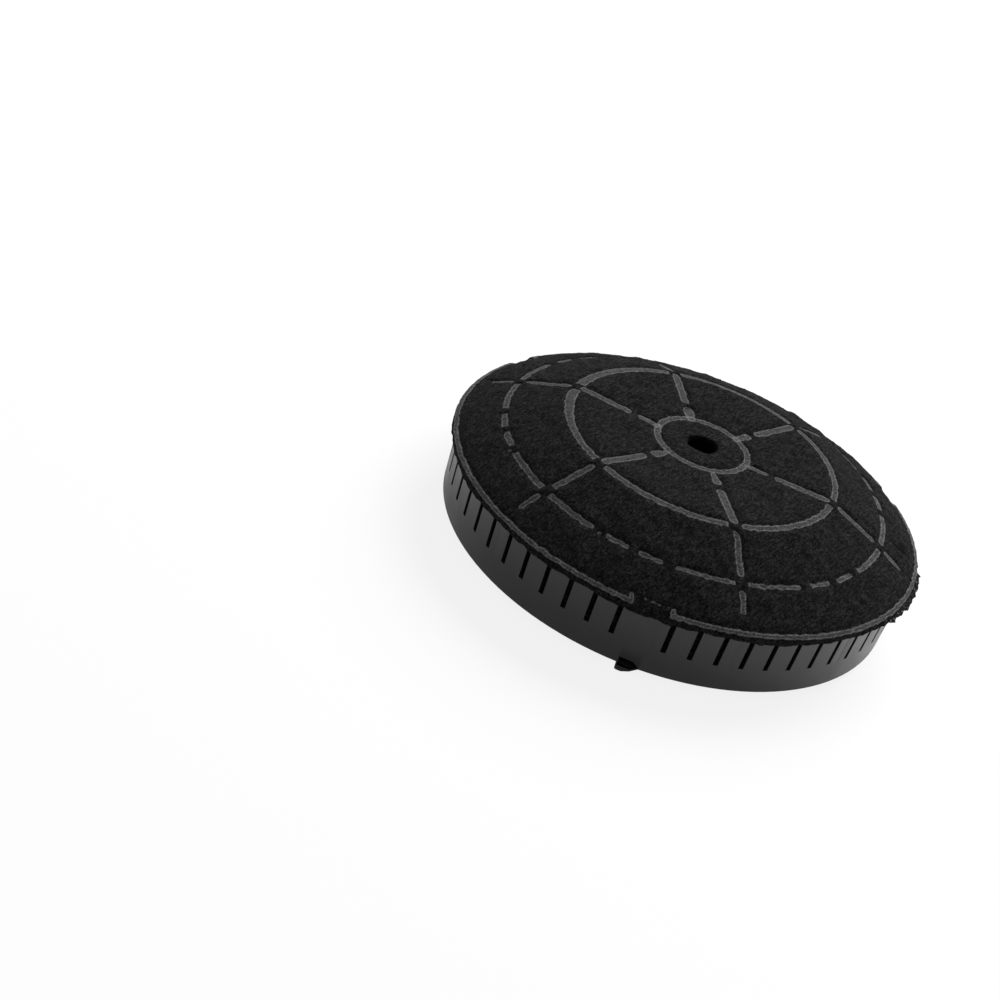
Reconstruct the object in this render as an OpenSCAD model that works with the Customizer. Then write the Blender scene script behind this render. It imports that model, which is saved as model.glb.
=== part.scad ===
// Round activated carbon filter for a cooker hood.
// Millimetres, +Z up, origin at the bottom centre on the plane that the three lugs stand on.
// The felt front faces up. One lug points to -Y.

/* [Skirt] */
// Outside radius of the skirt at its bottom rim
skirt_r = 112; // [100:0.5:130]
// Height of the skirt wall above its bottom rim
skirt_h = 31.8; // [28:0.1:50]
// Thickness of the skirt wall
skirt_wall = 2; // [1.5:0.1:2.6]
// Slope of the wall, which widens as it rises, in degrees
skirt_draft = 1.5; // [0:0.1:2]
// Chamfer along the bottom rim
rim_chamfer = 0.4; // [0.2:0.1:0.6]
// Width of each slot in the skirt
slot_w = 2.4; // [1.6:0.1:3.5]
// Slot places round the skirt; the ones that fall on a lug panel stay closed
slot_places = 60; // [48:12:72]
// Height of the slot bottoms above the floor grille
slot_sill = 0.4; // [0.2:0.1:3]

/* [Lugs] */
// Number of bayonet lugs
lug_count = 3; // [2:1:3]
// Drop of the lugs below the rim
lug_drop = 4; // [3.4:0.1:5]
// Width of a lug along the rim, its ramp included
lug_w = 9.8; // [9:0.1:13]
// Length of a lug's flat foot, before its ramp
foot_w = 3.2; // [2.6:0.1:4.5]
// Thickness of a lug, towards the centre
lug_t = 4; // [3.8:0.1:5]
// Width of the smooth panel above each lug
panel_w = 13.3; // [13:0.1:16]
// Depth by which the panel lies back from the skirt
panel_step = 0.15; // [0.1:0.05:0.4]
// Depth by which a lug lies back from its panel
lug_inset = 0.2; // [0.1:0.05:0.4]
// Thickness of the lip round a lug's hollow
foot_t = 0.9; // [0.7:0.1:1.4]
// Radius of the hollow, which is as deep behind the skirt's face
hollow_r = 3.2; // [2.6:0.1:3.2]
// Height of the hollow's middle line above the rim
hollow_h = 0.2; // [0:0.1:0.6]
// Reach of the hollow below the rim
hollow_drop = 1.7; // [1.5:0.1:2.2]
// Height above the rim at which the panel starts to roll inwards to the hollow
roll_h = 7; // [5.5:0.5:8]
// Radius of that roll
roll_r = 22; // [18:0.5:26]
// Angle by which the hollow runs out towards the lug's ramp, in degrees
hollow_turn = 9; // [6:0.5:12]

/* [Floor grille] */
// Height of the floor's underside above the rim, which is the depth of the mounting recess
recess_h = 10.6; // [6:0.1:14]
// Thickness of the floor
floor_t = 2; // [1.5:0.1:3]
// Width of each slot in the floor
floor_slot_w = 2.4; // [1.6:0.1:3]
// Slots in the outer band of the floor
floor_slots = 60; // [48:12:60]
// Width of the solid land at the floor's edge
floor_edge_w = 7; // [5:0.5:12]

/* [Hub and ribs] */
// Radius of the bore through the middle
bore_r = 7.2; // [5:0.1:9]
// Wall of the tube round the bore
tube_wall = 1.8; // [1.4:0.1:3]
// Thickness of the radial ribs
rib_t = 1.5; // [1:0.1:2.5]

/* [Front frame] */
// Angle of the first spoke from the lug at -Y, in degrees
spoke_offset = 20.8; // [15:0.1:25]
// Rise of the flat crown above the flange
crown_rise = 20.5; // [14:0.1:26]
// Dip of the hub below the edge of the crown
crown_dip = 1.4; // [0:0.1:3]
// Rise of the outer ring above the flange
outer_rise = 9.6; // [6:0.1:12]
// Radius of the hub ring
hub_r = 22.8; // [20:0.1:28]
// Radius of the middle ring, at the edge of the crown
mid_r = 65.6; // [58:0.1:72]
// Radius of the outer ring
outer_r = 93.7; // [86:0.1:98]
// Width of the rings and spokes
ring_w = 4.6; // [4:0.1:7]
// Width of the short struts between the spokes
strut_w = 3; // [2:0.1:5]
// Width of the land inside the locating lip
land_w = 1.2; // [0.8:0.1:3]
// Thickness of the frame and its flange
frame_t = 1.8; // [1.4:0.1:3]
// Width of the flange outside the skirt wall
flange_w = 1.8; // [1.6:0.1:4]
// Fall of the flange's top face towards its edge
flange_fall = 0.7; // [0.2:0.1:0.9]
// Depth of the locating lip inside the skirt
lip_h = 2.5; // [1.5:0.1:4]
// Thickness of the locating lip
lip_t = 2; // [1.2:0.1:3]

/* [Felt] */
// Thickness of the felt between the welds
felt_t = 1.8; // [1.4:0.1:4]
// Thickness left in the felt where it is welded down
weld_t = 0.9; // [0.4:0.1:1.2]
// Thickness of the felt's hem, which hangs down round the flange
hem_t = 1; // [0.8:0.1:2]
// Drop of the hem below the flange's top face
hem_drop = 3.3; // [2.8:0.1:5]
// Depth to which the felt's edge sinks into the flange's notch above each lug
sink_drop = 2.1; // [1.8:0.1:2.4]
// Radius of the hole punched in the felt
felt_hole_r = 7.3; // [7.3:0.1:8.8]

/* [Welds] */
// Width of the welds along the rings
weld_w = 3; // [2:0.1:3.8]
// Width of the welds along the spokes
spoke_weld_w = 3.4; // [2:0.1:4]
// Width of the outer ring's dashes
dash_w = 2.6; // [1.6:0.1:3.5]
// Half the opening in a ring weld where a spoke crosses it
crossing_gap = 3.2; // [2:0.1:5]
// Angle from a spoke to the first opening in the outer ring's weld, in degrees
dash_gap_angle = 19.8; // [15:0.1:24]
// Width of that opening
dash_gap = 5.7; // [2:0.1:8]
// Width of the opening half-way between two spokes
middle_gap = 4.9; // [2:0.1:8]
// Distance of the rim weld's middle line from the flange's edge
rim_weld_inset = 0.5; // [0.4:0.1:1]
// Opening in the rim weld above a lug
rim_gap = 16.4; // [15:0.1:20]
// Length of the weld stubs that stick out of the hub ring
stub_len = 10.7; // [6:0.1:14]
// Gap between a stub and the spoke weld that follows it
stub_gap = 3.4; // [2:0.1:6]
// Length of the last spoke weld, outside the outer ring
tail_len = 11; // [6:0.5:12]

/* [Fits] */
// Clearance between the frame and the housing
fit_gap = 0.2; // [0.1:0.05:0.4]
// Clearance round the carbon filling
bed_gap = 0.3; // [0.2:0.05:0.6]

/* [Hidden] */
$fn = 96;
// Overlap that joins the pieces of one moulding
bite = 0.4;
// Reach of the cutters past what they cut
over = 1;
lug_angle = -90;
// Depth at which a lug's ramp bends, half-way along it, as a share of the lug's drop
ramp_bend = 0.65;
lug_step = 360 / lug_count;
spoke_count = 6;
spoke_step = 360 / spoke_count;
first_spoke = lug_angle + spoke_offset;
floor_top = recess_h + floor_t;
slot_z = floor_top + slot_sill;
wall_top_r = skirt_r + skirt_h * tan(skirt_draft);
panel_half = asin(panel_w / 2 / skirt_r);
tube_r = bore_r + tube_wall;
flange_r = wall_top_r + flange_w;
rim_h = skirt_h + frame_t;
crown_h = rim_h + crown_rise;
hub_h = crown_h - crown_dip;
felt_r = flange_r + hem_t;
lip_out = wall_top_r - skirt_wall - fit_gap;
lip_in = lip_out - lip_t;
rim_weld_r = flange_r - rim_weld_inset;
rim_in_r = rim_weld_r - weld_w / 2;
ramp_middle = foot_w / 2;
notch_half = panel_half + 0.7;
notch_r = wall_top_r - skirt_wall / 2 - fit_gap;
sink_half = notch_half - 0.15;
sink_fall = (weld_t / 2 + sink_drop) / (felt_r - rim_in_r);
dome = [
    [0, hub_h],
    [hub_r, hub_h],
    [mid_r, crown_h],
    [outer_r, rim_h + outer_rise],
    [rim_in_r, rim_h],
    [flange_r, rim_h - flange_fall]
];
top = crown_h + 10;

// Height of the frame's top face at radius r
function dome_z(r) = lookup(r, dome);

// Outside and inside radius of the skirt wall at height z
function wall_out(z) = skirt_r + z * tan(skirt_draft);
function wall_in(z) = wall_out(z) - skirt_wall;

// Corners of the dome line between two radii, lifted by dz
function dome_line(r0, r1, dz) = concat(
    [[r0, dome_z(r0) + dz]],
    [for (p = dome) if (p[0] > r0 && p[0] < r1) [p[0], p[1] + dz]],
    [[r1, dome_z(r1) + dz]]
);

function reversed(list) = [for (i = [len(list) - 1:-1:0]) list[i]];

// Section between two lines parallel to the dome
module dome_section(r0, r1, low, high) {
    polygon(concat(dome_line(r0, r1, low), reversed(dome_line(r0, r1, high))));
}

module at_spokes(offset = 0) {
    for (i = [0:spoke_count - 1])
        rotate([0, 0, first_spoke + offset + i * spoke_step]) children();
}

module at_lugs() {
    for (i = [0:lug_count - 1])
        rotate([0, 0, lug_angle + i * lug_step]) children();
}

// A plate of thickness t that stands on the X axis, with its section in X and Z
module radial_plate(t) {
    rotate([90, 0, 0]) linear_extrude(t, center = true) children();
}

// Moulded housing

module skirt_wall_ring() {
    rotate_extrude() polygon([
        [wall_in(0) + rim_chamfer, 0],
        [wall_out(0) - rim_chamfer, 0],
        [wall_out(rim_chamfer), rim_chamfer],
        [wall_out(skirt_h), skirt_h],
        [wall_in(skirt_h), skirt_h],
        [wall_in(rim_chamfer), rim_chamfer]
    ]);
}

module skirt_slots() {
    pitch = 360 / slot_places;
    per_lug = slot_places / lug_count;
    closed = ceil(panel_half / pitch);
    at_lugs() for (i = [closed:per_lug - closed])
        rotate([0, 0, i * pitch])
            translate([skirt_r - skirt_wall - over, -slot_w / 2, slot_z])
                cube([skirt_wall * 2 + over * 2, slot_w, skirt_h - slot_z + over]);
}

// Thin layer taken off the skirt's face above each lug
module panel_cut() {
    at_lugs() rotate([0, 0, -panel_half])
        rotate_extrude(angle = 2 * panel_half) polygon([
            [wall_out(-over) - panel_step, -over],
            [wall_out(-over) + over, -over],
            [wall_out(skirt_h + over) + over, skirt_h + over],
            [wall_out(skirt_h + over) - panel_step, skirt_h + over]
        ]);
}

// Tongue of the panel that keys into the notch in the frame's flange
module panel_tongue() {
    half = notch_half - 0.3;
    at_lugs() rotate([0, 0, -half])
        rotate_extrude(angle = 2 * half) polygon([
            [notch_r + fit_gap, skirt_h - bite],
            [wall_out(skirt_h) - panel_step, skirt_h - bite],
            [wall_out(skirt_h) - panel_step, rim_h - fit_gap],
            [notch_r + fit_gap, rim_h - fit_gap]
        ]);
}

// Outline of a lug seen from outside: a round corner, a flat foot and a ramp.
// Above the rim the same outline backs the hollow from inside.
module lug_outline() {
    corner = 1;
    left = -lug_w / 2;
    intersection() {
        union() {
            polygon([
                [left + corner, -lug_drop],
                [left + foot_w, -lug_drop],
                [ramp_middle, -ramp_bend * lug_drop],
                [lug_w / 2, 0],
                [lug_w / 2, lug_drop],
                [left + corner, lug_drop]
            ]);
            translate([left, -lug_drop + corner]) square([corner + bite, 2 * lug_drop - corner]);
            translate([left + corner, -lug_drop + corner]) circle(corner);
        }
        translate([left, -lug_drop]) square([lug_w, 2 * lug_drop]);
    }
}

module lugs() {
    outside = skirt_r - panel_step - lug_inset;
    at_lugs() intersection() {
        translate([outside - 2 * lug_t, 0, 0]) rotate([90, 0, 90]) linear_extrude(3 * lug_t) lug_outline();
        difference() {
            translate([0, 0, -lug_drop - over]) cylinder(h = 2 * (lug_drop + over), r = outside);
            translate([0, 0, -lug_drop - 2 * over])
                cylinder(h = 2 * lug_drop + 4 * over, r = outside - lug_t);
        }
    }
}

// Outline of the hollow in a lug, seen from outside: it narrows to a point at the ramp's end
module hollow_outline() {
    left = -lug_w / 2 + foot_t / 2;
    polygon([
        [left, -hollow_drop],
        [ramp_middle, -hollow_drop],
        [lug_w / 2, foot_t],
        [ramp_middle, hollow_h + hollow_r],
        [ramp_middle, roll_h + over],
        [left, roll_h + over]
    ]);
}

// Section of the hollow: the face rolls gently inwards as it falls, down to the round hollow
module hollow_section() {
    difference() {
        translate([-lug_t, -lug_drop]) square([3 * lug_t, lug_drop + roll_h]);
        translate([-roll_r, roll_h]) circle(roll_r);
    }
    translate([0, hollow_h]) circle(hollow_r);
}

// Hollow in each lug, less and less deep towards the ramp
module lug_hollows() {
    at_lugs() intersection() {
        translate([skirt_r - 2 * lug_t, 0, 0]) rotate([90, 0, 90])
            linear_extrude(3 * lug_t) hollow_outline();
        translate([skirt_r, -lug_w / 2, 0]) rotate([0, 0, -hollow_turn])
            rotate([90, 0, 0]) linear_extrude(6 * lug_w, center = true) hollow_section();
    }
}

// Slots in one band of the floor, between the ribs
module floor_band(count, r0, r1) {
    for (i = [0:count - 1])
        rotate([0, 0, first_spoke + (i + 0.5) * 360 / count])
            translate([r0, -floor_slot_w / 2, recess_h - over])
                cube([r1 - r0, floor_slot_w, floor_t + 2 * over]);
}

module floor_plate() {
    difference() {
        translate([0, 0, recess_h]) cylinder(h = floor_t, r = wall_in(recess_h) + bite);
        floor_band(floor_slots, mid_r + ring_w, wall_in(recess_h) - floor_edge_w);
        floor_band(floor_slots / 2, hub_r + ring_w, mid_r - ring_w / 2);
    }
}

// Section of a rib from radius r0 to the skirt, under the frame and clear of its lip
module rib_section(r0) {
    under = -frame_t - fit_gap;
    r1 = lip_in - fit_gap;
    shoulder = skirt_h - lip_h - fit_gap;
    polygon(concat(
        [[r0, floor_top - bite], [wall_in(floor_top) + bite, floor_top - bite]],
        [[wall_in(shoulder) + bite, shoulder], [r1, shoulder]],
        reversed(dome_line(r0, r1, under))
    ));
}

module ribs() {
    at_spokes() radial_plate(rib_t) rib_section(tube_r - bite);
    at_spokes(spoke_step / 2) radial_plate(rib_t) rib_section(outer_r);
}

module housing() {
    color("#26272a") translate([0, 0, lug_drop]) difference() {
        union() {
            difference() {
                skirt_wall_ring();
                skirt_slots();
                panel_cut();
            }
            panel_tongue();
            lugs();
            floor_plate();
            ribs();
            translate([0, 0, recess_h]) cylinder(h = hub_h - recess_h, r = tube_r);
        }
        lug_hollows();
        translate([0, 0, recess_h - over]) cylinder(h = crown_h, r = bore_r);
    }
}

// Front frame

// Section of the frame before its openings are cut: dome, flange and locating lip
module frame_section() {
    r0 = tube_r + fit_gap;
    polygon(concat(
        dome_line(r0, flange_r, 0),
        [[flange_r, skirt_h], [lip_out, skirt_h], [lip_out, skirt_h - lip_h], [lip_in, skirt_h - lip_h]],
        reversed(dome_line(r0, lip_in, -frame_t))
    ));
}

module frame_rings() {
    circle(hub_r + ring_w / 2);
    for (r = [mid_r, outer_r]) difference() {
        circle(r + ring_w / 2);
        circle(r - ring_w / 2);
    }
}

module frame_spokes() {
    at_spokes() translate([0, -ring_w / 2]) square([flange_r, ring_w]);
    at_spokes(spoke_step / 2) translate([outer_r, -strut_w / 2]) square([flange_r - outer_r, strut_w]);
}

// Windows between the rings, spokes and struts
module frame_windows() {
    linear_extrude(top) difference() {
        circle(lip_in - land_w);
        frame_rings();
        frame_spokes();
    }
}

// Notch in the flange above each lug
module flange_notches() {
    at_lugs() rotate([0, 0, -notch_half])
        rotate_extrude(angle = 2 * notch_half)
            translate([notch_r, skirt_h - over]) square([flange_w + skirt_wall + over, frame_t + 2 * over]);
}

module front_frame() {
    color("#2c2d30") translate([0, 0, lug_drop]) difference() {
        rotate_extrude() frame_section();
        frame_windows();
        flange_notches();
    }
}

// Felt front with its welds

// Ring weld seen from above
module weld_ring(r, w) {
    difference() {
        circle(r + w / 2);
        circle(r - w / 2);
    }
}

// Bar along the X axis from radius r0 to radius r1
module weld_bar(r0, r1, w) {
    translate([r0, -w / 2]) square([r1 - r0, w]);
}

module middle_weld() {
    difference() {
        weld_ring(mid_r, weld_w);
        at_spokes() weld_bar(hub_r, outer_r, 2 * crossing_gap);
    }
}

// Outer ring weld, in dashes: open at the spokes, on both sides of them and half-way between
module outer_weld() {
    difference() {
        weld_ring(outer_r, dash_w);
        at_spokes() weld_bar(mid_r, rim_weld_r, 2 * (dash_w + 0.2));
        for (side = [-1, 1]) at_spokes(side * dash_gap_angle) weld_bar(mid_r, rim_weld_r, dash_gap);
        at_spokes(spoke_step / 2) weld_bar(mid_r, rim_weld_r, middle_gap);
    }
}

// Rim weld: it runs out over the flange's edge, and turns inwards where it meets a lug's notch
module rim_weld() {
    difference() {
        circle(felt_r + over);
        circle(rim_in_r);
        at_lugs() weld_bar(outer_r, felt_r + 2 * over, rim_gap);
    }
    for (side = [-1, 1]) at_lugs()
        translate([0, side * (rim_gap + weld_w) / 2]) weld_bar(rim_in_r - weld_w / 2, rim_weld_r, weld_w);
}

module spoke_welds() {
    stub_end = hub_r + stub_len;
    tail_start = outer_r + dash_w;
    at_spokes() {
        weld_bar(hub_r, stub_end, spoke_weld_w);
        weld_bar(stub_end + stub_gap, mid_r - weld_w / 3, spoke_weld_w);
        weld_bar(mid_r + crossing_gap, outer_r - crossing_gap, dash_w);
        weld_bar(tail_start, tail_start + tail_len, spoke_weld_w);
    }
}

module weld_pattern() {
    weld_ring(hub_r, weld_w);
    middle_weld();
    outer_weld();
    rim_weld();
    spoke_welds();
}

// Section of the felt: it lies on the dome and its hem hangs down round the flange
module felt_section() {
    polygon(concat(
        dome_line(felt_hole_r, flange_r, 0),
        [[flange_r, rim_h - hem_drop], [felt_r, rim_h - hem_drop]],
        [[felt_r, rim_h - flange_fall + weld_t / 3]],
        reversed(dome_line(felt_hole_r, flange_r, felt_t))
    ));
}

// Felt that has sunk into the flange's notch above each lug, outside the panel's tongue
module sunk_felt() {
    inner = wall_top_r + fit_gap;
    at_lugs() rotate([0, 0, -sink_half]) rotate_extrude(angle = 2 * sink_half) polygon([
        [inner, skirt_h + fit_gap],
        [flange_r + bite, skirt_h - fit_gap],
        [flange_r + bite, rim_h - bite],
        [inner, rim_h + bite]
    ]);
}

// Slope down which the felt sinks there
module sink_slope() {
    start = rim_in_r - 2 * weld_w;
    half = sink_half - 0.1;
    at_lugs() rotate([0, 0, -half]) rotate_extrude(angle = 2 * half) polygon([
        [start, rim_h + weld_t / 2 + 2 * weld_w * sink_fall],
        [felt_r + over, rim_h - sink_drop - over * sink_fall],
        [felt_r + over, top],
        [start, top]
    ]);
}

module front_felt() {
    color("#202022") translate([0, 0, lug_drop]) difference() {
        union() {
            rotate_extrude() felt_section();
            sunk_felt();
        }
        sink_slope();
        intersection() {
            rotate_extrude() dome_section(felt_hole_r, felt_r + over, weld_t, felt_t + over);
            linear_extrude(top) weld_pattern();
        }
    }
}

// Activated carbon filling, one wedge between each pair of ribs

module bed_section() {
    under = -frame_t - bed_gap;
    r0 = tube_r + bed_gap;
    r1 = lip_in - bed_gap;
    shoulder = skirt_h - lip_h - bed_gap;
    polygon(concat(
        [[r0, floor_top], [wall_in(floor_top) - bed_gap, floor_top]],
        [[wall_in(shoulder) - bed_gap, shoulder], [r1, shoulder]],
        reversed(dome_line(r0, r1, under))
    ));
}

module carbon_filling() {
    slit = rib_t + 2 * bed_gap;
    color("#17171a") translate([0, 0, lug_drop]) difference() {
        rotate_extrude() bed_section();
        at_spokes() translate([0, -slit / 2, 0]) cube([skirt_r + skirt_h, slit, top]);
        at_spokes(spoke_step / 2) translate([outer_r - bed_gap, -slit / 2, 0]) cube([skirt_r, slit, top]);
    }
}

housing();
front_frame();
front_felt();
carbon_filling();
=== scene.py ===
"""Looks of a round cooker hood carbon filter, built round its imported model.

Sizes are in millimetres and angles in degrees unless a comment says otherwise.
"""

import math

import bmesh
import bpy
import numpy as np
from mathutils import Matrix, Vector


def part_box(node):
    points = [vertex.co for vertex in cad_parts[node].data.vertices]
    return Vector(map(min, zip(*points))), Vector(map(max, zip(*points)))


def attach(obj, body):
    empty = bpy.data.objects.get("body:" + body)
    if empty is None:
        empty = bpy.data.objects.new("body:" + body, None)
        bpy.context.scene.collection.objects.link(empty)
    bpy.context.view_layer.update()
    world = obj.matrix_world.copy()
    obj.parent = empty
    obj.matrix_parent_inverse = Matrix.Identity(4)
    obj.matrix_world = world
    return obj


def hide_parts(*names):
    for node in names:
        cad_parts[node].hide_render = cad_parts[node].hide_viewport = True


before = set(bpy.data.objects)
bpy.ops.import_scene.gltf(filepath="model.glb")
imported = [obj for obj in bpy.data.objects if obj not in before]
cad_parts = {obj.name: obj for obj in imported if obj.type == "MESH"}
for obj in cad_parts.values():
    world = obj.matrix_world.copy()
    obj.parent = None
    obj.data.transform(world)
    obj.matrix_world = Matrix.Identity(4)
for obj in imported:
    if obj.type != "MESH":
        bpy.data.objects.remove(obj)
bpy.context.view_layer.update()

MM = 0.001

# Camera, at the photograph's viewing angle
CAMERA_AIM = Vector((-77.6, -65.6, 31.1))
CAMERA_DISTANCE = 708.1
CAMERA_HEADING = 94.16
CAMERA_DOWN = 31.95
CAMERA_ROLL = 18.38
CAMERA_LENS = 56.98

# Floor and light
FLOOR_SIDE = 16000.0
FLOOR_GLOW = 0.85
FLOOR_MIRRORED = 0.38
SKY_LEVEL = 0.27
KEY_SIDE = 1300.0
KEY_PLACE = Vector((450.0, 1150.0, 1250.0))
KEY_WATTS = 54.0

# Housing
LUG_DROP = 4.0
LUG_ANGLE = -90.0
LUG_STEP = 120.0
SKIRT_R = 112.0
SKIRT_H = 31.8
SKIRT_WALL = 2.0
SKIRT_DRAFT = 1.5
SLOT_PITCH = 6.0
SLOT_W = 2.4
SLOT_SILL = 0.4
FLOOR_TOP = 12.6 + LUG_DROP
BAND_SLOTS = (60, 30)
BAND_REACH = ((70.2, 103.2), (27.4, 63.3))
TUBE_R = 9.0
RIB_T = 1.5
LIP_IN = 108.63
LIP_H = 2.5

PLASTIC_EDGE_R = 0.3
PAINTED_SHADE_GREY = 0.0025

# Front frame and felt
SPOKE_ANGLE = LUG_ANGLE + 20.8
SPOKE_STEP = 60.0
HUB_R = 22.8
MID_R = 65.6
OUTER_R = 93.7
CROWN_RISE = 20.5
CROWN_DIP = 1.4
OUTER_RISE = 9.6
FRAME_T = 1.8
FELT_T = 1.8
WELD_T = 0.9
FLANGE_FALL = 0.7
HEM_T = 1.0
HEM_DROP = 3.3
SINK_DROP = 2.1
FELT_HOLE_R = 7.3

# Welds. The hub's ring is a little smaller than the frame's hub under it, and off centre.
WELD_W = 3.4
MID_WELD_W = (3.3, 5.0)
MID_WIDE_ANGLE = 150.0
OUTER_WELD_W = (2.9, 2.0)
OUTER_THIN_ANGLE = -68.0
HUB_WELD_R = 22.3
HUB_WELD_SHIFT = 1.35
STUB_NECK_W = 3.0
STUB_BULB_W = (4.2, 3.0, 4.8, 6.0, 3.6, 5.0)
SPOKE_WELD_W = 4.2
SPOKE_DASH_W = 3.2
DASH_W = 2.7
CROSSING_GAP = 3.2
DASH_GAP_ANGLE = 19.8
DASH_GAP = 5.7
MIDDLE_GAP = 4.9
RIM_GAP = 16.4
STUB_LEN = 10.7
STUB_GAP = 3.4
TAIL_LEN = 11.0
RIM_WELD_INSET = 0.5
RIM_WELD_W = 2.4
RIM_WELD_SHIFT = 0.4
HOOK_W = 2.2

# Felt mesh
FELT_COARSE = 1.45
FELT_FINE = 0.5
FELT_TURN = 0.62
FELT_FINE_TURN = 0.22
BEND_SOFTNESS = 2.2
EDGE_ROUND = 0.3
TORN_SPAN = (-33.0, -0.8)
TORN_REACH = 2.1

FELT_GREY = 0.0155
WELD_GREY = 0.046
WELD_EDGE_GREY = 0.12

# Carbon granules
GRAIN_R = (1.5, 2.1)
GRAIN_PITCH = 3.1
BED_GAP = 0.3
GRAIN_LAYER = 3.0

felt_low, felt_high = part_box("front_felt")
FELT_R = felt_high.x / MM
CROWN_H = felt_high.z / MM - FELT_T
RIM_H = CROWN_H - CROWN_RISE
HUB_H = CROWN_H - CROWN_DIP
FLANGE_R = FELT_R - HEM_T
RIM_WELD_R = FLANGE_R - RIM_WELD_INSET
RIM_IN_R = RIM_WELD_R - 1.5
DOME_R = [0, HUB_R, MID_R, OUTER_R, RIM_IN_R, FLANGE_R]
DOME_Z = [HUB_H, HUB_H, CROWN_H, RIM_H + OUTER_RISE, RIM_H, RIM_H - FLANGE_FALL]
EDGE_H = RIM_H - FLANGE_FALL

# Folds and dents in the felt: radius, angle, half length, half width, depth and
# lean from the radial direction
FOLDS = [
    (86.0, -5.3, 7.0, 2.6, 0.9, 5), (104.5, -39.3, 7.5, 1.6, 0.6, 3),
    (102.0, -54.0, 7.0, 2.0, 0.6, -6), (95.0, -148.6, 6.0, 3.0, 0.6, 20),
    (103.0, -47.0, 6.0, 2.4, 0.45, 5), (101.0, -88.0, 6.0, 2.6, 0.5, -12), (104.0, -118.0, 6.5, 2.8, 0.5, 10),
    (103.0, 25.0, 7.0, 2.2, 0.7, 6), (102.0, 52.0, 6.0, 2.5, 0.6, -9), (104.0, 96.0, 6.5, 2.4, 0.6, 12),
    (102.0, 176.0, 6.0, 2.6, 0.55, -8), (55.0, -100.0, 8.0, 4.5, 0.35, 35), (80.0, 40.0, 7.0, 3.5, 0.4, 25),
]
# The sharp ones, whose insides are painted dark as painted shade
CREASES = [
    (103.0, -1.0, 6.0, 2.4, 1.3, 12), (99.5, 141.0, 5.0, 2.2, 1.3, 80), (86.5, -4.9, 5.0, 2.4, 0.5, -10),
]
# Single weld spots beside the outer ring's dashes: radius, angle, size
WELD_SPOTS = [(95.4, -148.9, 1.6), (94.5, -109.1, 1.5)]


# Small fields and curves

def smooth_step(low, high, value):
    t = np.clip((value - low) / (high - low), 0, 1)
    return t * t * (3 - 2 * t)


def waves(x, y, length, seed, count=28):
    """Smooth random field with features of about the given length, mostly from -1 to 1."""
    rng = np.random.default_rng(seed)
    turn = rng.uniform(0, 2 * math.pi, count)
    phase = rng.uniform(0, 2 * math.pi, count)
    k = 2 * math.pi / (length * rng.uniform(0.7, 1.6, count))
    field = np.zeros_like(x)
    for i in range(count):
        field += np.cos(k[i] * (x * math.cos(turn[i]) + y * math.sin(turn[i])) + phase[i])
    return field * math.sqrt(1.2 / count)


def round_waves(angle, length, radius, seed):
    """The same kind of field along a circle, so that it closes without a seam."""
    return waves(radius * np.cos(angle), radius * np.sin(angle), length, seed)


def local_xy(r, angle, first, step):
    """Place along and across the nearest of the rays at first, first + step and so on."""
    first, step = math.radians(first), math.radians(step)
    turn = (angle - first + step / 2) % step - step / 2
    return r * np.cos(turn), r * np.sin(turn)


# Weld pattern

def ring(r, radius, width):
    return np.abs(r - radius) - width / 2


def bar(x, y, start, end, width):
    """Distance to a bar with round ends along X."""
    half = width / 2
    past = np.maximum(np.maximum(start + half - x, x - end + half), 0)
    return np.hypot(past, y) - half


def width_at(angle, widths, centre):
    """The first width on most of a ring, and the second one on the quarter of it round the centre angle."""
    share = smooth_step(0.45, 0.95, np.cos(angle - math.radians(centre)))
    return widths[0] * (1 - share) + widths[1] * share


def by_spoke(angle, values):
    """For each place, the value of the spoke next to it; the spokes count from the one nearest a lug."""
    spoke = np.round((np.degrees(angle) - SPOKE_ANGLE) / SPOKE_STEP).astype(int) % len(values)
    return np.asarray(values)[spoke]


def stub(x, y, bulb):
    """Distance to the drop-shaped weld that sticks out of the hub ring."""
    end = HUB_R + STUB_LEN - bulb / 2
    half = STUB_NECK_W / 2 + (bulb - STUB_NECK_W) / 2 * smooth_step(HUB_R, end, x)
    past = np.maximum(np.maximum(HUB_R + 0.8 - x, x - end), 0)
    return np.hypot(past, y) - half


def tail(x, y):
    """Distance to the last spoke weld, which narrows outwards."""
    start = OUTER_R + DASH_W
    narrow = 0.5 * smooth_step(start, start + TAIL_LEN, x)
    return bar(x, y, start, start + TAIL_LEN, SPOKE_DASH_W) + narrow


def spoke_welds(x, y, bulb):
    start = HUB_R + STUB_LEN + STUB_GAP
    return [
        stub(x, y, bulb),
        bar(x, y, start, MID_R - WELD_W / 3, SPOKE_WELD_W),
        bar(x, y, MID_R + CROSSING_GAP, OUTER_R - CROSSING_GAP, SPOKE_DASH_W),
        tail(x, y),
    ]


def weld_spots(px, py):
    spots = []
    for r, turn, size in WELD_SPOTS:
        centre = math.radians(turn)
        spots.append(np.hypot(px - r * math.cos(centre), py - r * math.sin(centre)) - size / 2)
    return np.minimum.reduce(spots)


def outer_weld(r, angle, spoke_y):
    """Outer ring in dashes."""
    openings = [DASH_W + 0.2 - np.abs(spoke_y)]
    for side in (-1, 1):
        _, y = local_xy(r, angle, SPOKE_ANGLE + side * DASH_GAP_ANGLE, SPOKE_STEP)
        openings.append(DASH_GAP / 2 - np.abs(y))
    _, y = local_xy(r, angle, SPOKE_ANGLE + SPOKE_STEP / 2, SPOKE_STEP)
    openings.append(MIDDLE_GAP / 2 - np.abs(y))
    dashes = ring(r, OUTER_R, width_at(angle, OUTER_WELD_W, OUTER_THIN_ANGLE))
    return np.maximum.reduce([dashes, *openings])


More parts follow.
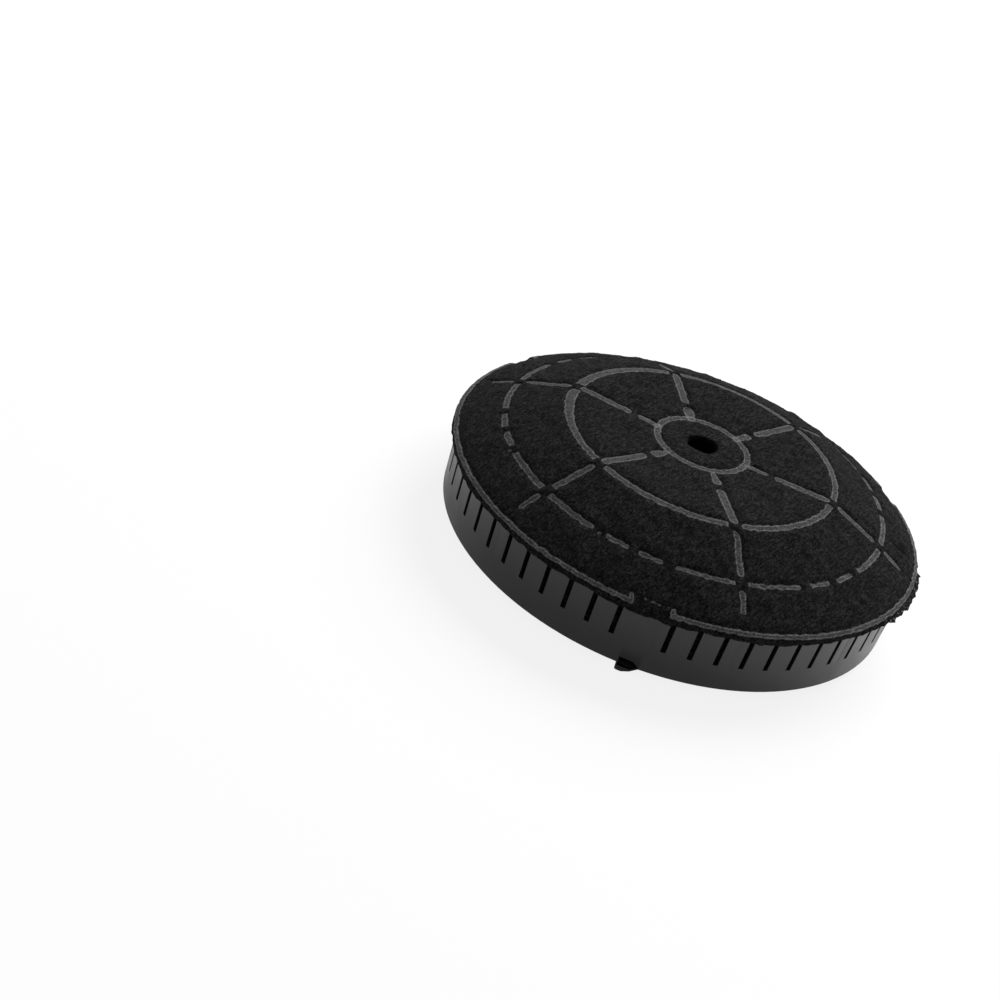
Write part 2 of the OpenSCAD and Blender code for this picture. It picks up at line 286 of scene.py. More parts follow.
def rim_weld(r, angle):
    """Rim ring, with a thin hook inwards on both sides of a lug's notch and a faint line between them."""
    x, y = local_xy(r, angle, LUG_ANGLE, LUG_STEP)
    line = np.maximum(ring(r, RIM_WELD_R + RIM_WELD_SHIFT, RIM_WELD_W), RIM_GAP / 2 - np.abs(y))
    hook_y = np.abs(y) - (RIM_GAP + HOOK_W) / 2
    hook = bar(x, hook_y, RIM_IN_R - 2.0, RIM_WELD_R + HOOK_W, HOOK_W)
    broken = 0.3 * waves(x * 0 + y, y, 3.1, 13)
    crease = np.maximum(ring(r, RIM_IN_R - 1.4, 0.3), np.abs(y) - RIM_GAP / 2) + broken
    return np.minimum.reduce([line, hook, crease])


def weld_fields(r, angle):
    """Distance to the nearest weld's edge, negative inside it, and to the nearest outline of any weld."""
    x, y = local_xy(r, angle, SPOKE_ANGLE, SPOKE_STEP)
    px, py = r * np.cos(angle), r * np.sin(angle)
    hub = ring(np.hypot(px, py - HUB_WELD_SHIFT), HUB_WELD_R, WELD_W)
    middle = ring(r, MID_R, width_at(angle, MID_WELD_W, MID_WIDE_ANGLE))
    middle = np.maximum(middle, CROSSING_GAP - np.abs(y))
    spokes = spoke_welds(x, y, by_spoke(angle, STUB_BULB_W))
    outer = outer_weld(r, angle, y)
    wobble = 0.22 * waves(px, py, 5, 11) + 0.12 * waves(px, py, 1.9, 12)
    welds = [hub, middle, outer, rim_weld(r, angle), weld_spots(px, py), *spokes]
    welds = [distance + wobble for distance in welds]
    return np.minimum.reduce(welds), np.minimum.reduce([np.abs(distance) for distance in welds])


# Felt front

def dome_z(r):
    """Height of the frame's top face, with the felt's soft bends at the rings."""
    spread = np.linspace(-BEND_SOFTNESS, BEND_SOFTNESS, 9)
    return sum(np.interp(np.abs(r + s), DOME_R, DOME_Z) for s in spread) / len(spread)


def graded(low, high, spacing):
    """Values from low to high that lie as far apart as spacing says at each place."""
    fine = np.linspace(low, high, 6000)
    count = np.concatenate([[0], np.cumsum((fine[1] - fine[0]) / spacing(fine)[1:])])
    return np.interp(np.linspace(0, count[-1], int(count[-1]) + 1), count, fine)


def felt_radii():
    """Radii of the felt's rings on the dome, close together where a ring weld's edges lie."""
    def spacing(r):
        near = np.minimum.reduce([np.abs(r - c) for c in (HUB_R, MID_R, OUTER_R, RIM_WELD_R)])
        return np.where(near < 3.0, FELT_FINE, FELT_COARSE)
    return graded(FELT_HOLE_R, FLANGE_R - EDGE_ROUND, spacing)


def felt_angles():
    """Angles of the felt's columns, close together along the spokes and the weld hooks."""
    def spacing(turn):
        a = np.radians(turn)
        _, spoke = local_xy(MID_R * 1.3, a, SPOKE_ANGLE, SPOKE_STEP)
        _, lug = local_xy(FLANGE_R, a, LUG_ANGLE, LUG_STEP)
        near = np.minimum(np.abs(spoke), np.abs(np.abs(lug) - (RIM_GAP + HOOK_W) / 2) * 1.3)
        folded = np.minimum.reduce([np.abs((turn - crease[1] + 180) % 360 - 180) for crease in CREASES])
        return np.where((near < 3.0) | (folded < 2.5), FELT_FINE_TURN, FELT_TURN)
    return np.radians(graded(SPOKE_ANGLE, SPOKE_ANGLE + 360, spacing)[:-1])


def marks(x, y, places):
    """Sum of long soft hollows."""
    depth = np.zeros_like(x)
    for r, turn, length, width, deep, lean in places:
        centre, along = math.radians(turn), math.radians(turn + lean)
        dx, dy = x - r * math.cos(centre), y - r * math.sin(centre)
        u = dx * math.cos(along) + dy * math.sin(along)
        v = dy * math.cos(along) - dx * math.sin(along)
        depth += deep * np.exp(-(u / length) ** 2 - (v / width) ** 2)
    return depth


def felt_relief(x, y, d):
    """Thickness of the felt above the frame, from the distance to the nearest weld."""
    free = np.maximum(d, 0)
    raised = (FELT_T - WELD_T) * (1 - np.exp(-(free / 1.3) ** 1.5))
    pillow = 0.4 * (1 - np.exp(-free / 7))
    loose = 1 - np.exp(-free / 4)
    lumps = 0.4 * waves(x, y, 26, 31) + 0.22 * waves(x, y, 9, 32) - marks(x, y, FOLDS + CREASES)
    nap = 0.12 * waves(x, y, 2.6, 33) * (1 - np.exp(-free / 0.8))
    melted = 0.07 * waves(x, y, 2.6, 34) * smooth_step(0.2, -0.6, d)
    return np.maximum(WELD_T + raised + pillow + lumps * loose + nap + melted, WELD_T * 0.8)


def torn(angle):
    """1 where the hem is torn open and stands out, 0 elsewhere."""
    turn = np.degrees((angle + math.pi) % (2 * math.pi) - math.pi)
    low, high = TORN_SPAN
    return smooth_step(low, low + 9, turn) * smooth_step(high, high - 1.2, turn)


def hem_line(angle):
    """How far the hem stands out at its lower edge, and how far that edge hangs down."""
    tear = torn(angle)
    tatters = 0.5 * round_waves(angle, 4.5, FELT_R, 27) + 0.35 * round_waves(angle, 2.2, FELT_R, 28)
    out = 0.2 * round_waves(angle, 30, FELT_R, 24) + tear * (TORN_REACH + 0.55 * tatters)
    ragged = 0.3 * round_waves(angle, 30, FELT_R, 21) + 0.22 * round_waves(angle, 8, FELT_R, 22)
    fine = 0.16 * round_waves(angle, 2.6, FELT_R, 23)
    return out, HEM_DROP + ragged + fine + tear * (0.45 * tatters - 1.1)


def sink_share(angle):
    """1 above a lug, where the felt sinks into the flange's notch, and 0 past its weld hooks."""
    _, y = local_xy(FELT_R, angle, LUG_ANGLE, LUG_STEP)
    return smooth_step(RIM_GAP / 2 + 0.3, RIM_GAP / 2 - 1.8, np.abs(y))


def sunk(r, angle, z, lift=0.0):
    """Height z of a felt surface, lowered to the slope above a lug."""
    fall = (WELD_T / 2 + SINK_DROP) / (FELT_R - RIM_IN_R)
    slope = RIM_H + WELD_T / 2 - (r - RIM_IN_R) * fall + lift
    share = sink_share(angle)
    return z * (1 - share) + np.minimum(z, slope) * share


def hem_row(angle, share, out, drop, thickness):
    """One ring of points along the hem, at a share of its drop and at a distance from the flange."""
    seed = 38 + round(share * 10)
    lumps = 0.12 * round_waves(angle, 6, FELT_R, 37) + 0.08 * round_waves(angle, 2.3, FELT_R, seed)
    r = FLANGE_R + thickness + out * share ** 1.6 + lumps * (thickness > HEM_T * 0.9)
    high = sunk(FELT_R, angle, EDGE_H - EDGE_ROUND, -0.1)
    z = high + (RIM_H - drop - high) * share
    return np.stack([r, angle, z], -1)[:, None]


def felt_corner(angle):
    """The felt's outside round the flange's edge, with its weld fields."""
    turn, a = np.meshgrid(np.radians([18, 36, 54, 72]), angle)
    share = np.sin(turn) ** 2
    reach = FLANGE_R - EDGE_ROUND + turn * (EDGE_ROUND + 1)
    d, outline = weld_fields(reach, a)
    x, y = reach * np.cos(a), reach * np.sin(a)
    side = HEM_T + 0.15 * waves(x, y, 7, 35) + 0.08 * waves(x, y, 2.4, 36)
    thick = felt_relief(x, y, d) * (1 - share) + side * share + EDGE_ROUND
    r = FLANGE_R - EDGE_ROUND + thick * np.sin(turn)
    z = EDGE_H - EDGE_ROUND + thick * np.cos(turn)
    lumps = 0.25 * waves(x, y, 3.5, 39)
    return np.stack([r, a, sunk(r, a, z, lumps)], -1), d, outline


def side_by_side(shape, rest, *parts):
    """Field on a whole grid: the parts in its first columns and one value in the others."""
    field = np.full(shape, rest)
    first = 0
    for part in parts:
        field[:, first:first + part.shape[1]] = part
        first += part.shape[1]
    return field


def felt_front():
    angle = felt_angles()
    r, a = np.meshgrid(felt_radii(), angle)
    d, outline = weld_fields(r, a)
    x, y = r * np.cos(a), r * np.sin(a)
    hole = smooth_step(FELT_HOLE_R + 2.5, FELT_HOLE_R, r)
    hole_edge = 0.3 * round_waves(a, 9, FELT_HOLE_R, 26) - 0.5
    high = sunk(r, a, dome_z(r) + felt_relief(x, y, d), 0.25 * waves(x, y, 3.5, 39))
    top = np.stack([r - hole_edge * hole, a, high], -1)
    corner, corner_d, corner_outline = felt_corner(angle)

    out, drop = hem_line(angle)
    outside = [hem_row(angle, share, out, drop, HEM_T) for share in (0.15, 0.35, 0.55, 0.75, 0.9, 1.0)]
    edge = [hem_row(angle, 1.07, out, drop, HEM_T / 2)]
    inside = [hem_row(angle, share, out, drop, 0.06) for share in (0.95, 0.6, 0.25)]

    near_edge = FLANGE_R - np.array([0, 1, 2, 3.5, 6])
    under_r = np.concatenate([near_edge, np.linspace(OUTER_R + 2, FELT_HOLE_R, 8)])
    ru, au = np.meshgrid(under_r, angle)
    under = np.stack([ru, au, sunk(ru, au, dome_z(ru) + 0.05, -0.35)], -1)
    bore = (top[:, :1] * 0.5 + under[:, -1:] * 0.5) - [0.1, 0, 0]
    # Painted shade on the felt's cut edge round its hole, carried in the crease field
    hole_painted_shade = np.where(r < FELT_HOLE_R + 0.1, 0.6, 0.0)
    polar = np.concatenate([top, corner, *outside, *edge, *inside, under, bore], 1)
    points = np.stack([
        polar[..., 0] * np.cos(polar[..., 1]), polar[..., 0] * np.sin(polar[..., 1]), polar[..., 2],
    ], -1)
    shape = polar.shape[:2]
    outside_d = np.zeros((len(angle), len(outside) + len(edge)))
    # The crease field is painted shade: dark in the sharp creases and round the hole, and fully dark on the
    # hem's inside, the underside and the bore
    fields = {
        "weld": side_by_side(shape, 9.0, d, corner_d),
        "outline": side_by_side(shape, 9.0, outline, corner_outline),
        "crease": side_by_side(shape, 1.0, marks(x, y, CREASES) + hole_painted_shade, 0 * corner_d, 0 * outside_d),
        "torn_hem_glint": side_by_side(shape, 0.0, 0 * d, 0 * corner_d, outside_d * 0 + torn(angle)[:, None]),
    }
    return closed_grid("felt_front", points, fields)


# Meshes

def mesh_object(name, points, faces, fields=None, smooth=True):
    """Object from points in millimetres, with float fields on its points."""
    mesh = bpy.data.meshes.new(name)
    mesh.from_pydata((np.asarray(points) * MM).tolist(), [], np.asarray(faces).tolist())
    for field, values in (fields or {}).items():
        mesh.attributes.new(field, "FLOAT", "POINT").data.foreach_set("value", np.ravel(values))
    mesh.polygons.foreach_set("use_smooth", [smooth] * len(mesh.polygons))
    made = bpy.data.objects.new(name, mesh)
    bpy.context.scene.collection.objects.link(made)
    return made


def closed_grid(name, points, fields=None, smooth=True):
    """Mesh of a grid of points that closes in both directions."""
    rows, columns = points.shape[:2]
    index = np.arange(rows * columns).reshape(rows, columns)
    along = np.roll(index, -1, 0)
    faces = np.stack([index, along, np.roll(along, -1, 1), np.roll(index, -1, 1)], -1).reshape(-1, 4)
    return mesh_object(name, points.reshape(-1, 3), faces, fields, smooth)


# Carbon filling

def wall_in(z):
    """Inside radius of the skirt at height z above the floor."""
    return SKIRT_R - SKIRT_WALL + (z - LUG_DROP) * math.tan(math.radians(SKIRT_DRAFT))


def bed_section():
    """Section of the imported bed, behind the layer of loose granules."""
    under = -FRAME_T - BED_GAP
    low = FLOOR_TOP + GRAIN_LAYER
    shoulder = SKIRT_H + LUG_DROP - LIP_H - BED_GAP
    wall = wall_in(low) - GRAIN_LAYER
    lip = LIP_IN - BED_GAP
    reach = [TUBE_R + BED_GAP, MID_R, OUTER_R, lip]
    line = [(r, float(np.interp(r, DOME_R, DOME_Z)) + under) for r in reversed(reach)]
    return [(TUBE_R + BED_GAP, low), (wall, low), (wall, shoulder), (lip - 0.5, shoulder), *line]


def bed_wedge(start, end, section):
    """Points and faces of one wedge of the bed, clear of the ribs on both sides of it."""
    clear = RIB_T / 2 + BED_GAP
    shares = np.linspace(0, 1, 9)
    points, faces, n = [], [], len(section)
    for share in shares:
        for r, z in section:
            slit = math.asin(clear / r)
            a = (start + slit) * (1 - share) + (end - slit) * share
            points.append((r * math.cos(a), r * math.sin(a), z))
    for i in range(len(shares) - 1):
        for j in range(n):
            k = (j + 1) % n
            faces.append([i * n + j, i * n + k, (i + 1) * n + k, (i + 1) * n + j])
    last = (len(shares) - 1) * n
    faces.append([j for j in reversed(range(n))])
    faces.append([last + j for j in range(n)])
    return points, faces


def carbon_bed():
    points, faces = [], []
    section = bed_section()
    half = math.radians(SPOKE_STEP / 2)
    for i in range(12):
        start = math.radians(SPOKE_ANGLE) + i * half
        more_points, more_faces = bed_wedge(start, start + half, section)
        base = len(points)
        points += more_points
        faces += [[base + j for j in face] for face in more_faces]
    mesh = bpy.data.meshes.new("carbon_bed")
    mesh.from_pydata([[c * MM for c in p] for p in points], [], faces)
    made = bpy.data.objects.new("carbon_bed", mesh)
    bpy.context.scene.collection.objects.link(made)
    return made


def skirt_slot_angles():
    """Angles of the open slots in the skirt; the place on each lug's panel is closed."""
    places = int(LUG_STEP / SLOT_PITCH)
    return [LUG_ANGLE + lug * LUG_STEP + i * SLOT_PITCH for lug in range(3) for i in range(1, places)]


def grain_places(rng):
    """Places of the granules that show in the slots of the skirt and the floor, with their radii."""
    places = []
    top = SKIRT_H + LUG_DROP - LIP_H - BED_GAP
    for a in skirt_slot_angles():
        z = FLOOR_TOP + 1.4
        while z < top - 1.2:
            for side in (-1, 1):
                size = rng.uniform(*GRAIN_R)
                r = wall_in(z) - BED_GAP - size * 1.02 - rng.uniform(0, 0.8)
                turn = math.radians(a) + (side * 1.15 + rng.uniform(-0.5, 0.5)) / r
                height = min(z + rng.uniform(-0.5, 0.5), top - size)
                places.append((r * math.cos(turn), r * math.sin(turn), height, size))
            z += GRAIN_PITCH * 0.92
    for count, (start, end) in zip(BAND_SLOTS, BAND_REACH):
        for i in range(count):
            turn = math.radians(SPOKE_ANGLE + (i + 0.5) * 360 / count)
            for r in np.arange(start + 0.6, end, GRAIN_PITCH):
                size = rng.uniform(*GRAIN_R)
                across = rng.uniform(-0.7, 0.7)
                x, y = r + rng.uniform(-0.5, 0.5), across
                height = FLOOR_TOP + size + rng.uniform(0, 0.6)
                px = x * math.cos(turn) - y * math.sin(turn)
                py = x * math.sin(turn) + y * math.cos(turn)
                places.append((px, py, height, size))
    return places


def grain_shape():
    """Points and faces of a plain ball, as arrays."""
    ball = bmesh.new()
    bmesh.ops.create_icosphere(ball, subdivisions=2, radius=1)
    points = np.array([v.co[:] for v in ball.verts])
    faces = np.array([[v.index for v in f.verts] for f in ball.faces])
    ball.free()
    return points, faces


def carbon_granules():
    """Crushed granules behind the slots, each one a broken lump of its own."""
    rng = np.random.default_rng(5)
    ball, ball_faces = grain_shape()
    places = grain_places(rng)
    points, faces, tone = [], [], []
    for i, (x, y, z, size) in enumerate(places):
        axis = rng.normal(size=(6, 3))
        axis /= np.linalg.norm(axis, axis=1)[:, None]
        cut = rng.uniform(0.62, 0.9, 6)
        reach = ball @ axis.T
        shrink = np.min(np.where(reach > cut, cut / np.maximum(reach, 1e-6), 1), 1)
        lump = ball * shrink[:, None] * rng.uniform(0.8, 1, 3) * rng.uniform(0.94, 1, (len(ball), 1))
        points.append(lump * size + [x, y, z])
        faces.append(ball_faces + i * len(ball))
        tone.append(np.full(len(ball), rng.uniform()))
    return mesh_object(
        "carbon_granules", np.concatenate(points), np.concatenate(faces),
        {"tone": np.concatenate(tone)}, smooth=False,
    )


# Materials

def new_material(name):
    material = bpy.data.materials.new(name)
    material.use_nodes = True
    return material, material.node_tree, material.node_tree.nodes["Principled BSDF"]


def plug(tree, value, socket):
    """Links a socket, or sets a plain value."""
    if isinstance(value, bpy.types.NodeSocket):
        tree.links.new(value, socket)
    else:
        socket.default_value = value


def node(tree, kind, inputs=(), **settings):
    made = tree.nodes.new("ShaderNode" + kind)
    for key, value in settings.items():
        setattr(made, key, value)
    for key, value in dict(inputs).items():
        plug(tree, value, made.inputs[key])
    return made


def math_node(tree, operation, a, b=0.0, c=0.0):
    return node(tree, "Math", {0: a, 1: b, 2: c}, operation=operation).outputs[0]


def place(tree):
    """The point on the object, in metres."""
    return node(tree, "TexCoord").outputs["Object"]


def noise(tree, where, size, detail=2.0, roughness=0.5, distortion=0.0):
    """Noise from 0 to 1 with features of about the given size in millimetres."""
    made = node(tree, "TexNoise", {
        "Vector": where, "Scale": 1 / (size * MM), "Detail": detail,
        "Roughness": roughness, "Distortion": distortion,
    })
    return made.outputs["Fac"]


def stretched(tree, where, turn, squeeze):
    """The same place with one direction squeezed, so that noise on it turns into fibres."""
    return node(tree, "Mapping", {
        "Vector": where, "Rotation": (0, 0, math.radians(turn)), "Scale": (1 / squeeze, 1, 1),
    }, vector_type="TEXTURE").outputs["Vector"]


def ramp(tree, value, low, high, out_low=0.0, out_high=1.0, smooth=True):
    made = node(tree, "MapRange", {
        "Value": value, "From Min": low, "From Max": high, "To Min": out_low, "To Max": out_high,
    }, interpolation_type="SMOOTHSTEP" if smooth else "LINEAR")
    return made.outputs["Result"]


def mix_value(tree, share, a, b):
    return node(tree, "Mix", {0: share, 2: a, 3: b}).outputs[0]


def mix_colour(tree, share, a, b, blend="MIX"):
    made = node(tree, "Mix", data_type="RGBA", blend_type=blend, clamp_factor=True)
    plug(tree, share, made.inputs[0])
    plug(tree, a, made.inputs[6])
    plug(tree, b, made.inputs[7])
    return made.outputs[2]


def bump(tree, height, distance, strength=1.0, normal=None):
    inputs = {"Height": height, "Distance": distance * MM, "Strength": strength}
    if normal is not None:
        inputs["Normal"] = normal
    return node(tree, "Bump", inputs).outputs["Normal"]


def grey(level):
    return (level, level, level * 1.02, 1.0)


def felt_fibres(tree, where):
    """Fibre grain from 0 to 1: crossing sets of stretched noise, most of them along the roll."""
    lightest = noise(tree, stretched(tree, where, 25, 0.5), 0.6, 3, 0.65)
    for turn in (68, 90, 114, 155):
        layer = noise(tree, stretched(tree, where, turn, 0.42), 0.6, 3, 0.65)
        lightest = math_node(tree, "MAXIMUM", lightest, layer)
    return ramp(tree, lightest, 0.5, 0.76, smooth=False)


def felt_material():
    """Needled felt with its melted welds, which have light edges and a darker core."""
    material, tree, shader = new_material("felt")
    where = place(tree)
    fibres = felt_fibres(tree, where)
    mottle = noise(tree, where, 6, 3, 0.6)
    clumps = noise(tree, stretched(tree, where, 66, 0.28), 1.1, 3, 0.6)
    grain = noise(tree, where, 0.7, 2, 0.6)
    fields = {name: node(tree, "Attribute", attribute_name=name).outputs["Fac"]
              for name in ("weld", "outline", "crease", "torn_hem_glint")}
    fray = math_node(tree, "MULTIPLY_ADD", noise(tree, where, 0.7, 3, 0.7), 1.8, -0.9)
    melted = ramp(tree, math_node(tree, "ADD", fields["weld"], fray), 0.15, -0.15)
    light_edge = ramp(tree, math_node(tree, "ADD", fields["outline"], fray), 0.95, 0.35)
    # Painted shade on the felt just beside each weld, where its steep edge stands over the weld
    shade_beside_welds = ramp(tree, math_node(tree, "ADD", fields["weld"], fray), 1.1, 0.4)
    # Painted shade in the sharp creases, round the felt's hole and on its hidden sides, from the crease field
    painted_crease_shade = ramp(tree, fields["crease"], 0.2, 1.0)

    shade = ramp(tree, fibres, 0, 1, 0.15, 2.5)
    layers = [
        (ramp(tree, mottle, 0.3, 0.7), 0.7, 1.3), (ramp(tree, clumps, 0.3, 0.7), 0.15, 1.85),
        (ramp(tree, grain, 0.35, 0.65), 0.6, 1.4), (shade_beside_welds, 1.0, 0.7), (painted_crease_shade, 1.0, 0.15),
    ]
    for layer, low, high in layers:
        shade = math_node(tree, "MULTIPLY", shade, ramp(tree, layer, 0, 1, low, high, smooth=False))
    shade = math_node(tree, "MINIMUM", shade, 2.6)
    felt_colour = mix_colour(tree, 1.0, grey(FELT_GREY), shade, "MULTIPLY")
    # Painted highlights: light flecks on the torn hem, where its loose fibres catch the light
    painted_glint = math_node(tree, "MULTIPLY", ramp(tree, noise(tree, where, 1.3, 1), 0.66, 0.7), fields["torn_hem_glint"])
    felt_colour = mix_colour(tree, painted_glint, felt_colour, grey(0.25))
    weld_shade = math_node(
        tree, "MULTIPLY", ramp(tree, grain, 0.3, 0.7, 0.4, 1.6), ramp(tree, clumps, 0.3, 0.7, 0.75, 1.25))
    weld_grey = mix_colour(tree, light_edge, grey(WELD_GREY), grey(WELD_EDGE_GREY))
    weld_colour = mix_colour(tree, 1.0, weld_grey, weld_shade, "MULTIPLY")
    plug(tree, mix_colour(tree, melted, felt_colour, weld_colour), shader.inputs["Base Color"])
    plug(tree, ramp(tree, melted, 0, 1, 0.95, 0.6), shader.inputs["Roughness"])
    shader.inputs["Specular IOR Level"].default_value = 0.03
    shader.inputs["Sheen Weight"].default_value = 0.03
    shader.inputs["Sheen Roughness"].default_value = 0.4

    nap = math_node(tree, "MULTIPLY", fibres, ramp(tree, melted, 0, 1, 1.0, 0.15))
    relief = bump(tree, clumps, 1.9, 1.0)
    relief = bump(tree, nap, 0.5, 1.0, relief)
    relief = bump(tree, grain, 0.3, 0.6, relief)
    plug(tree, relief, shader.inputs["Normal"])
    return material


def lug_hollow_painted_shade(tree, where):
    """Painted shade on the skirt: 1 in the hollow behind a lug's lip and less on the face that rolls in above
    it, 0 elsewhere.
    """
    axes = node(tree, "SeparateXYZ", {0: where}).outputs
    turn = math_node(tree, "ARCTAN2", axes["Y"], axes["X"])
    turn = math_node(tree, "SUBTRACT", turn, math.radians(LUG_ANGLE))
    across = math_node(tree, "PINGPONG", turn, math.radians(LUG_STEP / 2))
    across = math_node(tree, "MULTIPLY", across, SKIRT_R)
    height = math_node(tree, "SUBTRACT", axes["Z"], LUG_DROP * MM)
    skirt = math_node(tree, "MULTIPLY_ADD", height, math.tan(math.radians(SKIRT_DRAFT)), SKIRT_R * MM)
    depth = math_node(tree, "SUBTRACT", skirt, distance_from_axis(tree, where))
    low = ramp(tree, height, 7.5 * MM, 5.5 * MM)
    inside = math_node(tree, "MULTIPLY", ramp(tree, depth, 0.1 * MM, 0.75 * MM), low)
    # Painted shade that fades out up the wall above each hollow
    shade_above_hollow = math_node(tree, "MULTIPLY", ramp(tree, height, 11 * MM, 3 * MM), 0.38)
    share = math_node(tree, "MAXIMUM", inside, shade_above_hollow)
    return math_node(tree, "MULTIPLY", share, ramp(tree, across, 6.0, 3.8))


def distance_from_axis(tree, where):
    flat = node(tree, "VectorMath", {0: where, 1: (1, 1, 0)}, operation="MULTIPLY").outputs["Vector"]
    return node(tree, "VectorMath", {0: flat}, operation="LENGTH").outputs["Value"]


def bore_painted_shade(tree, where):
    """Painted shade: 1 in and round the middle bore, 0 elsewhere."""
    return ramp(tree, distance_from_axis(tree, where), (FELT_HOLE_R + 2.0) * MM, (FELT_HOLE_R + 1.3) * MM)


def plastic_material(name, level, roughness, skirt):
    """Satin black moulding, painted darker and less glossy as painted shade in its bore and in the skirt's
    lug hollows.

    The skirt also has faint sink marks over its ribs.
    """
    material, tree, shader = new_material(name)
    where = place(tree)
    cloud = noise(tree, where, 14, 3)
    fine = noise(tree, where, 0.45, 2)
    colour = mix_colour(tree, cloud, grey(level * 0.8), grey(level * 1.2))
    painted_shade = bore_painted_shade(tree, where)
    if skirt:
        painted_shade = math_node(tree, "MAXIMUM", painted_shade, lug_hollow_painted_shade(tree, where))
    # Painted shade: the bore and the skirt's lug hollows get a darker colour and less gloss
    plug(tree, mix_colour(tree, painted_shade, colour, grey(PAINTED_SHADE_GREY)), shader.inputs["Base Color"])
    plug(tree, ramp(tree, painted_shade, 0, 1, 0.5, 0.03, smooth=False), shader.inputs["Specular IOR Level"])
    plug(tree, ramp(tree, cloud, 0.3, 0.7, roughness - 0.04, roughness + 0.05), shader.inputs["Roughness"])
    round_edges = node(tree, "Bevel", {"Radius": PLASTIC_EDGE_R * MM}, samples=6).outputs["Normal"]
    relief = bump(tree, fine, 0.02, 0.5, round_edges)
    relief = bump(tree, noise(tree, where, 22, 1), 0.25, 0.5, relief)
    if skirt:
        relief = bump(tree, sink_mark_height(tree, where), 0.1, 1.0, relief)
    plug(tree, relief, shader.inputs["Normal"])
    return material


def sink_mark_height(tree, where):
    """1 on the plain wall, less where the wall has sunk over a rib above the floor."""
    axes = node(tree, "SeparateXYZ", {0: where}).outputs
    turn = math_node(tree, "ARCTAN2", axes["Y"], axes["X"])
    step = math.radians(SPOKE_STEP / 2)
    ribs = math_node(tree, "SUBTRACT", turn, math.radians(SPOKE_ANGLE))
    across = math_node(tree, "PINGPONG", ribs, step / 2)
    wall = math_node(tree, "MULTIPLY", across, SKIRT_R * MM)
    below = math_node(tree, "MAXIMUM", math_node(tree, "SUBTRACT", (FLOOR_TOP + 1) * MM, axes["Z"]), 0.0)
    far = math_node(tree, "SQRT", math_node(
        tree, "ADD", math_node(tree, "MULTIPLY", wall, wall), math_node(tree, "MULTIPLY", below, below)))
    return ramp(tree, far, 0.4 * MM, 2.4 * MM)


def carbon_material(name, use_painted_glints):
    material, tree, shader = new_material(name)
    where = place(tree)
    pits = noise(tree, where, 0.6, 4, 0.7)
    colour = mix_colour(tree, pits, grey(0.0015), grey(0.006))
    # A few granules, those with the highest tone, are painted lighter grey as painted glints
    if use_painted_glints:
        tone = node(tree, "Attribute", attribute_name="tone").outputs["Fac"]
        colour = mix_colour(tree, ramp(tree, tone, 0.95, 1.0), colour, grey(0.02))
    plug(tree, colour, shader.inputs["Base Color"])
    plug(tree, ramp(tree, pits, 0.3, 0.7, 0.45, 0.8), shader.inputs["Roughness"])
    shader.inputs["Specular IOR Level"].default_value = 0.12
    plug(tree, bump(tree, pits, 0.25, 0.8), shader.inputs["Normal"])
    return material


def set_material(piece, *materials):
    piece.data.materials.clear()
    for material in materials:
        piece.data.materials.append(material)


# Stage, light and camera

def seen_directly(tree, camera, reflected):
    """How much of a background's own light the camera and reflected rays see; other rays see none."""
    path = node(tree, "LightPath").outputs
    direct = math_node(tree, "MULTIPLY", path["Is Camera Ray"], camera)
    mirrored = math_node(tree, "MAXIMUM", path["Is Glossy Ray"], path["Is Transmission Ray"])
    return math_node(tree, "MAXIMUM", direct, math_node(tree, "MULTIPLY", mirrored, reflected))


def make_floor():
    half = FLOOR_SIDE / 2
    corners = [(-half, -half, 0), (half, -half, 0), (half, half, 0), (-half, half, 0)]
    floor = mesh_object("floor", corners, [(0, 1, 2, 3)], smooth=False)
    material, tree, shader = new_material("floor_white")
    shader.inputs["Base Color"].default_value = (0.86, 0.86, 0.86, 1)
    shader.inputs["Roughness"].default_value = 1.0
    shader.inputs["Specular IOR Level"].default_value = 0.0
    glow = node(tree, "Emission", {"Color": (1, 1, 1, 1), "Strength": 1.0})
    seen = seen_directly(tree, FLOOR_GLOW, FLOOR_MIRRORED)
    mixed = node(tree, "MixShader", {0: seen, 1: shader.outputs[0], 2: glow.outputs[0]})
    tree.links.new(mixed.outputs[0], tree.nodes["Material Output"].inputs["Surface"])
    set_material(floor, material)


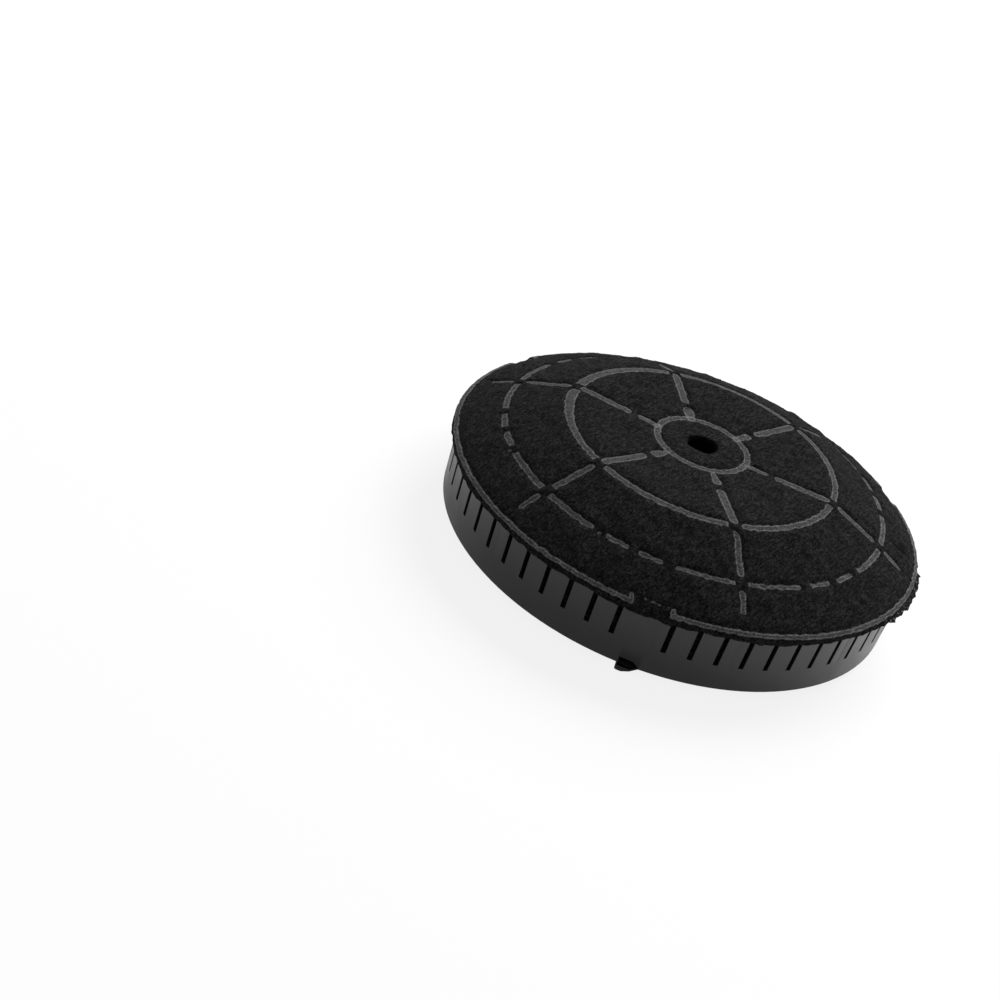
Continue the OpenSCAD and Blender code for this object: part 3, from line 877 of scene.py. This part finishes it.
def make_sky():
    world = bpy.data.worlds.new("studio")
    world.use_nodes = True
    tree = world.node_tree
    sky = tree.nodes["Background"]
    sky.inputs["Color"].default_value = (1, 1, 1, 1)
    level = ramp(tree, seen_directly(tree, 1.0, 1.0), 0, 1, SKY_LEVEL, 1.0, smooth=False)
    plug(tree, level, sky.inputs["Strength"])
    bpy.context.scene.world = world


def make_key_light():
    lamp = bpy.data.lights.new("key", "AREA")
    lamp.shape = "SQUARE"
    lamp.size = KEY_SIDE * MM
    lamp.energy = KEY_WATTS
    key = bpy.data.objects.new("key", lamp)
    key.location = KEY_PLACE * MM
    key.rotation_euler = (Vector((0, 0, CROWN_H)) - KEY_PLACE).to_track_quat("-Z", "Y").to_euler()
    bpy.context.scene.collection.objects.link(key)


def make_camera():
    heading, down, roll = (math.radians(v) for v in (CAMERA_HEADING, CAMERA_DOWN, CAMERA_ROLL))
    look = Vector((math.cos(heading) * math.cos(down), math.sin(heading) * math.cos(down), -math.sin(down)))
    right = look.cross(Vector((0, 0, 1))).normalized()
    up = right.cross(look)
    axis_x = right * math.cos(roll) + up * math.sin(roll)
    axis_y = up * math.cos(roll) - right * math.sin(roll)
    turn = Matrix((axis_x, axis_y, -look)).transposed().to_4x4()
    camera = bpy.data.objects.new("camera", bpy.data.cameras.new("camera"))
    camera.data.lens = CAMERA_LENS
    camera.matrix_world = Matrix.Translation((CAMERA_AIM - look * CAMERA_DISTANCE) * MM) @ turn
    bpy.context.scene.collection.objects.link(camera)
    bpy.context.scene.camera = camera


make_camera()
make_floor()
make_sky()
make_key_light()
bpy.context.scene.view_settings.view_transform = "Standard"

felt = felt_front()
set_material(felt, felt_material())
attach(felt, "root")
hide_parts("front_felt")

bed = carbon_bed()
set_material(bed, carbon_material("carbon_packed", use_painted_glints=False))
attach(bed, "root")
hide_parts("carbon_filling")

granules = carbon_granules()
set_material(granules, carbon_material("carbon_loose", use_painted_glints=True))
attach(granules, "root")

body_plastic = plastic_material("housing_plastic", 0.009, 0.33, skirt=True)
set_material(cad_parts["housing"], body_plastic)
frame_plastic = plastic_material("frame_plastic", 0.014, 0.4, skirt=False)
set_material(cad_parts["front_frame"], frame_plastic)
